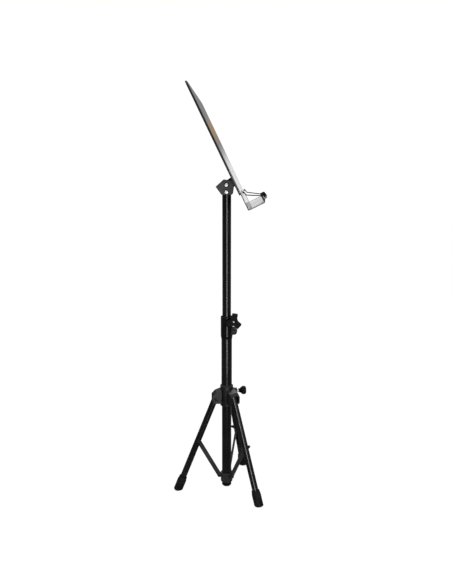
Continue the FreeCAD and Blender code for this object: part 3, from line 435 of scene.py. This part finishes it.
HUB_NYLON = finish("moulded_nylon_hub", grey(0.006, 0.0005), grey(0.010, 0.0005), grey(0.04, 0.002),
                   rough=0.34, rough_spread=0.10, grain=2300.0, depth=0.012 * MM,
                   edge=0.30, scuff=0.20, Specular_IOR_Level=0.32)
# Painted light: a paler copy of the black nylon for the tilt head. Its lighter base stands in for the light the
# head catches.
HEAD_NYLON_PAINTED_LIGHT = finish("moulded_nylon_painted_light", grey(0.066, 0.001), grey(0.105, 0.001), grey(0.15),
                    rough=0.42, rough_spread=0.10, grain=2300.0, depth=0.012 * MM,
                    edge=0.30, scuff=0.20, Specular_IOR_Level=0.15)
NYLON = finish("moulded_nylon", grey(0.004, 0.0005), grey(0.007, 0.0005), grey(0.04, 0.002),
               rough=0.42, rough_spread=0.10, grain=2300.0, depth=0.012 * MM,
               edge=0.30, scuff=0.20, Specular_IOR_Level=0.035)
RUBBER = finish("foot_rubber", grey(0.0027), grey(0.0045), grey(0.016),
                rough=0.58, rough_spread=0.12, grain=1300.0, depth=0.03 * MM,
                edge=0.30, scuff=0.30, dust=0.06, Specular_IOR_Level=0.12)
ZINC = finish("bright_zinc", grey(0.86, 0.01), (0.78, 0.79, 0.80), grey(0.92),
              rough=0.52, rough_spread=0.10, grain=1800.0, depth=0.01 * MM,
              edge=0.5, scuff=0.30, Metallic=1.0)
PIN_OXIDE = finish("pin_black_oxide", grey(0.010, 0.0005), grey(0.017, 0.001), grey(0.10, 0.005),
                   rough=0.34, rough_spread=0.10, grain=1700.0, depth=0.01 * MM,
                   edge=0.35, scuff=0.25, Specular_IOR_Level=0.15)
WIRE_PAINT = finish("wire_black", grey(0.008, 0.0005), grey(0.014, 0.0005), grey(0.12),
                    rough=0.26, rough_spread=0.08, grain=1600.0, depth=0.01 * MM,
                    edge=0.25, scuff=0.25, Specular_IOR_Level=0.10)

BY_SLOT = {"tube_paint": TUBE_PAINT, "desk_paint": DESK_PAINT, "black_nylon": NYLON, "foot_rubber": RUBBER,
           "zinc": ZINC, "black_pins": PIN_OXIDE, "black_wire": WIRE_PAINT}
BY_NODE = {"head_near": HEAD_NYLON_PAINTED_LIGHT, "head_far": HEAD_NYLON_PAINTED_LIGHT, "tripod_hub": HUB_NYLON,
           "clamp_collar": COLLAR_NYLON, "hub_knob": COLLAR_NYLON, "brace_collar": BRACE_PAINT_PAINTED_LIGHT}
BY_NODE.update(("brace_" + side, BRACE_PAINT_PAINTED_LIGHT) for side in LEGS)
for part in frame["record"]["subparts"]:
    node = NODES[part["node"]]
    node.data.materials.clear()
    node.data.materials.append(BY_NODE.get(part["node"], BY_SLOT[part["material_slot"]]))


# Small fittings.

THREAD_PITCH = 1.25 * MM


def foot_rims():
    """A rolled lip at the mouth of each rubber foot and two grip beads round its waist."""
    leg_length = 326.0 * MM
    mouth = 41.0 * MM - leg_length
    lip_radius, lip_drop, lip_swell = 12.0 * MM, 0.2 * MM, 0.9 * MM
    grip_radius, grip_swell = 14.0 * MM, 0.7 * MM
    grip_drops = (17.0 * MM, 22.0 * MM)
    for side in LEGS:
        place = leg_frame(side)
        beads = [ring_bead(lip_radius, mouth - lip_drop, lip_swell, place)]
        beads += [ring_bead(grip_radius, mouth - drop, grip_swell, place) for drop in grip_drops]
        piece("foot_rim_" + side, beads, RUBBER, "leg_" + side)


def bracket_welds():
    """Weld beads along both sides of the bracket's tongue, where it meets the plate."""
    plate_back = -4.0 * MM
    half_root = 16.0 * MM
    flank = 2.9 * MM
    bead_radius = 1.5 * MM
    ripple = 2.2 * MM
    beads = []
    for _, sign in SIDES:
        low = (plate_back, sign * flank, PIVOT_UP - half_root)
        high = (plate_back, sign * flank, PIVOT_UP + half_root)
        beads.append(weld_bead(low, high, bead_radius, ripple, DESK_FRAME))
    piece("bracket_weld", beads, TUBE_PAINT, "desk")


def clamp_stud_ends():
    """Screw thread on the tail of the clamp stud, and a low bright dome on its near end."""
    thread_depth = 0.35 * MM
    thread_low, thread_high = -1.8 * MM, 0.6 * MM
    crown_share = 0.55
    crown_rise = 0.9 * MM
    low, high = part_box("clamp_stud")
    axis_x = (low.x + high.x) / 2
    axis_z = (low.z + high.z) / 2
    radius = (high.x - low.x) / 2
    far = frame_along((axis_x, high.y, axis_z), TO_FAR, RIGHT)
    tail = thread(radius, radius + thread_depth, THREAD_PITCH, thread_low, thread_high, far)
    piece("clamp_stud_thread", [tail], PIN_OXIDE, "clamp_knob")
    near = frame_along((axis_x, low.y, axis_z), TO_NEAR, RIGHT)
    crown = dome(radius * crown_share, crown_rise, near)
    piece("clamp_stud_crown", [crown], ZINC, "clamp_knob")


def head_bolt_trim():
    """Low domes on the two bolt heads of the tilt head, and a black washer round each."""
    heights = (962.0 * MM, 983.0 * MM)
    crown_radius, crown_rise = 4.6 * MM, 1.2 * MM
    section = MM * np.array([(4.6, 0.0), (6.9, 0.0), (6.9, 0.4), (6.6, 0.7), (4.6, 0.7), (4.6, 0.0)])
    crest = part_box("head_bolts")[0].y
    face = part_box("head_near")[0].y
    caps = [dome(crown_radius, crown_rise, frame_along((0, crest, z), TO_NEAR, RIGHT)) for z in heights]
    piece("head_bolt_crowns", caps, ZINC, "mast")
    rings = [turned(section, frame_along((0, face, z), TO_NEAR, RIGHT), sides=48) for z in heights]
    piece("head_bolt_washers", rings, NYLON, "mast")


def bush_rim():
    """Rolled rim round the top of the bush, where the height tube comes out of the clamp."""
    rim_radius, rim_swell = 15.2 * MM, 1.1 * MM
    place = frame_along((0, 0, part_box("clamp_bush")[1].z), UP, RIGHT)
    piece("bush_rim", [ring_bead(rim_radius, 0.0, rim_swell, place)], NYLON, "base")


def lock_stud_thread():
    """Screw thread on the bare length of the lock stud, between the boss and the knob."""
    joint = JOINTS["hub_knob_turn"]
    place = frame_along(joint["pos_m"], joint["axis"], UP)
    crest, depth = 4.3 * MM, 0.4 * MM
    boss_face, bare = 33.5 * MM, 5.5 * MM
    low = boss_face + 0.3 * MM
    high = boss_face + bare - 0.2 * MM
    shank = thread(crest - depth, crest, THREAD_PITCH, low, high, place)
    piece("hub_stud_thread", [shank], ZINC, "hub_knob")


def wire_tips():
    """Vinyl ball on the turned-in end of each page holder's arm."""
    tip_out, tip_y, tip_up = 5.0 * MM, 146.0 * MM, 46.8 * MM
    swell, reach = 2.8 * MM, 2.9 * MM
    for side, sign in SIDES:
        place = frame_along(to_row((tip_out, sign * tip_y, tip_up), DESK_FRAME), DESK_N, DESK_E)
        piece("holder_tip_" + side, [ball(swell, reach, place)], NYLON, "holder_" + side)


def page_stop():
    """Soft strip inside the lip: the section |u / a|^4 + |v / b|^4 = 1 along Y, closed at both ends."""
    half_rise, half_thick, half_run = 3.6 * MM, 0.7 * MM, 246.0 * MM
    middle_out, middle_up = 47.2 * MM, 5.7 * MM
    wall_out, wall_up = 5.0 * MM, 9.5 * MM
    wall_lean = math.atan2(wall_out, wall_up)
    shoulder, end_face = 0.997, 0.85
    turn = full_turn(32)[None, :]
    along = half_run * np.array([-1.0, -1.0, -shoulder, shoulder, 1.0, 1.0])[:, None]
    share = np.array([0.0, end_face, 1.0, 1.0, end_face, 0.0])[:, None]
    rise = share * half_rise * np.sign(np.cos(turn)) * np.sqrt(np.abs(np.cos(turn)))
    thick = share * half_thick * np.sign(np.sin(turn)) * np.sqrt(np.abs(np.sin(turn)))
    out = middle_out + rise * math.sin(wall_lean) - thick * math.cos(wall_lean)
    up = middle_up + rise * math.cos(wall_lean) + thick * math.sin(wall_lean)
    points = np.stack([out, np.broadcast_to(along, out.shape), up], axis=-1)
    piece("page_stop", [(to_row(points, DESK_FRAME), False, True)], RUBBER, "desk")


def ledge_hem():
    """Rolled edge on both ends of apron, ledge and lip.

    A circle carried along the fold's middle line, whose bends are (1 - t)^2 A + 2 t (1 - t) C + t^2 B.
    """
    swell, inset, bend = 1.25 * MM, 247.0 * MM, 2.25 * MM
    corners = MM * np.array([(-0.75, 45.0), (-0.75, 0.75), (46.05, 0.75), (51.05, 10.25), (57.6, 10.25)])
    runs = np.diff(corners, axis=0)
    ways = runs / np.linalg.norm(runs, axis=1, keepdims=True)
    turns = np.arccos(np.sum(ways[:-1] * ways[1:], axis=1))
    setback = (bend * np.tan(turns / 2))[:, None, None]
    share = np.linspace(0, 1, 9)[None, :, None]
    corner = corners[1:-1, None, :]
    enter = corner - setback * ways[:-1, None, :]
    leave = corner + setback * ways[1:, None, :]
    curve = (1 - share) ** 2 * enter + 2 * share * (1 - share) * corner + share ** 2 * leave
    veer = (1 - share) * ways[:-1, None, :] + share * ways[1:, None, :]
    line = np.concatenate([corners[:1], corners[:1], curve.reshape(-1, 2), corners[-1:], corners[-1:]])
    heading = np.concatenate([ways[:1], ways[:1], veer.reshape(-1, 2), ways[-1:], ways[-1:]])
    heading = heading / np.linalg.norm(heading, axis=1, keepdims=True)
    radius = np.full((len(line), 1), swell)
    radius[[0, -1]] = 0.0
    around = full_turn(16)[None, :]
    out = line[:, :1] - radius * np.cos(around) * heading[:, 1:]
    up = line[:, 1:] + radius * np.cos(around) * heading[:, :1]
    ends = [to_row(np.stack([out, sign * inset + radius * np.sin(around), up], axis=-1), DESK_FRAME)
            for _, sign in SIDES]
    piece("ledge_hem", [(end, False, True) for end in ends], DESK_PAINT, "desk")


foot_rims()
bracket_welds()
clamp_stud_ends()
head_bolt_trim()
bush_rim()
lock_stud_thread()
wire_tips()
page_stop()
ledge_hem()


# Stage: pale floor, white surround, soft light.

def seen_share(tree, path):
    """1 where the camera looks, straight or through something clear."""
    return math_node(tree, "MAXIMUM", path.outputs["Is Camera Ray"], path.outputs["Is Transmission Ray"])


def stage_floor():
    """Large pale floor: white to the camera, with a soft shadow; dim in mirrors, more so in front."""
    half = 14.0
    pale = 0.86
    seen_white = 1.06
    front_glow, back_gain = 0.06, 0.20
    front_y, back_y = -0.4, 1.2
    glow_share = 0.90
    mesh = bpy.data.meshes.new("floor")
    corners = [(-half, -half, 0), (half, -half, 0), (half, half, 0), (-half, half, 0)]
    mesh.from_pydata(corners, [], [(0, 1, 2, 3)])
    floor = bpy.data.objects.new("floor", mesh)
    bpy.context.scene.collection.objects.link(floor)
    material = bpy.data.materials.new("floor_pale")
    material.use_nodes = True
    tree = material.node_tree
    shader = tree.nodes["Principled BSDF"]
    shader.inputs["Base Color"].default_value = (*grey(pale), 1.0)
    shader.inputs["Roughness"].default_value = 0.9
    shader.inputs["Specular IOR Level"].default_value = 0.0
    glow = tree.nodes.new("ShaderNodeEmission")
    glow.inputs["Color"].default_value = (*WHITE, 1.0)
    path = tree.nodes.new("ShaderNodeLightPath")
    seen = seen_share(tree, path)
    glossy = path.outputs["Is Glossy Ray"]
    behind = spread(tree, coordinates(tree, "Object")["Y"], front_y, back_y)
    mirrored = plus(tree, times(tree, behind, back_gain), front_glow)
    bright = plus(tree, times(tree, seen, seen_white), times(tree, glossy, mirrored))
    tree.links.new(bright, glow.inputs["Strength"])
    share = times(tree, math_node(tree, "MAXIMUM", seen, glossy), glow_share)
    blend = tree.nodes.new("ShaderNodeMixShader")
    tree.links.new(share, blend.inputs["Fac"])
    tree.links.new(shader.outputs["BSDF"], blend.inputs[1])
    tree.links.new(glow.outputs["Emission"], blend.inputs[2])
    tree.links.new(blend.outputs["Shader"], tree.nodes["Material Output"].inputs["Surface"])
    mesh.materials.append(material)


def surround():
    """World: white where seen, softer as light; in mirrors a sheet behind, a warm wall and a ceiling.

    The pairs below are bands of the direction's Y or Z, over which each part fades in.
    """
    sheet_side = (0.955, 0.985)
    sheet_top = (0.035, 0.075)
    sheet_bright, loss_above = 0.90, 0.78
    room = 0.09
    ceiling, ceiling_bright = (0.24, 0.60), 0.9
    wall_foot, wall_head, wall_bright = (0.077, 0.087), (0.104, 0.112), 0.16
    wall_colour = (1.0, 0.72, 0.42)
    seen_white = 1.03
    as_light = 0.75
    world = bpy.data.worlds.new("studio")
    world.use_nodes = True
    bpy.context.scene.world = world
    tree = world.node_tree
    background = tree.nodes["Background"]
    path = tree.nodes.new("ShaderNodeLightPath")
    glossy = path.outputs["Is Glossy Ray"]
    heading = coordinates(tree, "Generated")
    behind = spread(tree, heading["Y"], *sheet_side)
    above = spread(tree, heading["Z"], *sheet_top)
    sheet = times(tree, behind, minus(tree, 1.0, times(tree, above, loss_above)))
    overhead = times(tree, spread(tree, heading["Z"], *ceiling), ceiling_bright)
    over_foot = spread(tree, heading["Z"], *wall_foot)
    over_head = spread(tree, heading["Z"], *wall_head)
    wall = times(tree, minus(tree, over_foot, over_head, clamp=True), behind)
    mirrored = plus(tree, plus(tree, times(tree, sheet, sheet_bright), room), overhead)
    mirrored = plus(tree, mirrored, times(tree, wall, wall_bright))
    tint = mix_colour(tree, times(tree, wall, glossy), WHITE, wall_colour)
    tree.links.new(tint, background.inputs["Color"])
    seen = seen_share(tree, path)
    other = minus(tree, 1.0, plus(tree, seen, glossy), clamp=True)
    strength = plus(tree, times(tree, seen, seen_white), times(tree, glossy, mirrored))
    strength = plus(tree, strength, times(tree, other, as_light))
    tree.links.new(strength, background.inputs["Strength"])


def area_lamp(name, width, height, power):
    """Rectangular light, not yet placed."""
    light = bpy.data.lights.new(name, "AREA")
    light.shape = "RECTANGLE"
    light.size = width
    light.size_y = height
    light.energy = power
    lamp = bpy.data.objects.new(name, light)
    bpy.context.scene.collection.objects.link(lamp)
    return lamp


def soft_box(name, place, target, width, height, power):
    """Rectangular soft light that faces a point."""
    lamp = area_lamp(name, width, height, power)
    lamp.location = place
    lamp.rotation_euler = (Vector(target) - Vector(place)).to_track_quat("-Z", "Y").to_euler()


def strip_light(name, azimuth, low, high, width, power):
    """Leaning light for gloss alone, between two (distance, height) ends on one spoke from the column."""
    lamp = area_lamp(name, width, math.hypot(high[0] - low[0], high[1] - low[1]), power)
    spoke = Vector((math.sin(azimuth), -math.cos(azimuth), 0.0))
    foot, head = [spoke * distance + Vector((0.0, 0.0, height)) for distance, height in (low, high)]
    rise = (head - foot).normalized()
    across = Vector((0.0, 0.0, 1.0)).cross(spoke)
    facing = across.cross(rise)
    lamp.location = (foot + head) / 2
    lamp.rotation_euler = Matrix((across, rise, facing)).transposed().to_euler()
    lamp.visible_camera = False
    lamp.visible_diffuse = False


def camera():
    """Camera at the photograph's place: height 1.01 m, 1.84 m away, 10.6 degrees down."""
    focal_pixels = 600.0
    image_height = 575.0
    sensor = 36.0
    pitch = 0.185
    yaw = -0.0400
    lens = bpy.data.cameras.new("camera")
    lens.sensor_width = sensor
    lens.lens = focal_pixels * sensor / image_height
    lens.clip_end = 100.0
    eye = bpy.data.objects.new("camera", lens)
    eye.location = (0.0715, -1.8389, 1.0120)
    ahead = Vector((math.sin(yaw) * math.cos(pitch), math.cos(yaw) * math.cos(pitch), -math.sin(pitch)))
    eye.rotation_euler = ahead.to_track_quat("-Z", "Y").to_euler()
    bpy.context.scene.collection.objects.link(eye)
    bpy.context.scene.camera = eye


stage_floor()
surround()
strip_light("key", azimuth=math.radians(10.0), low=(1.15, 0.03), high=(1.35, 1.15), width=0.26, power=14.5)
soft_box("fill", place=(2.0, -1.9, 1.6), target=(0, 0, 0.6), width=1.0, height=1.4, power=10.0)
soft_box("back", place=(0.4, 2.4, 2.6), target=(0, 0, 0.7), width=1.6, height=1.0, power=24.0)
camera()
bpy.context.scene.view_settings.view_transform = "Standard"
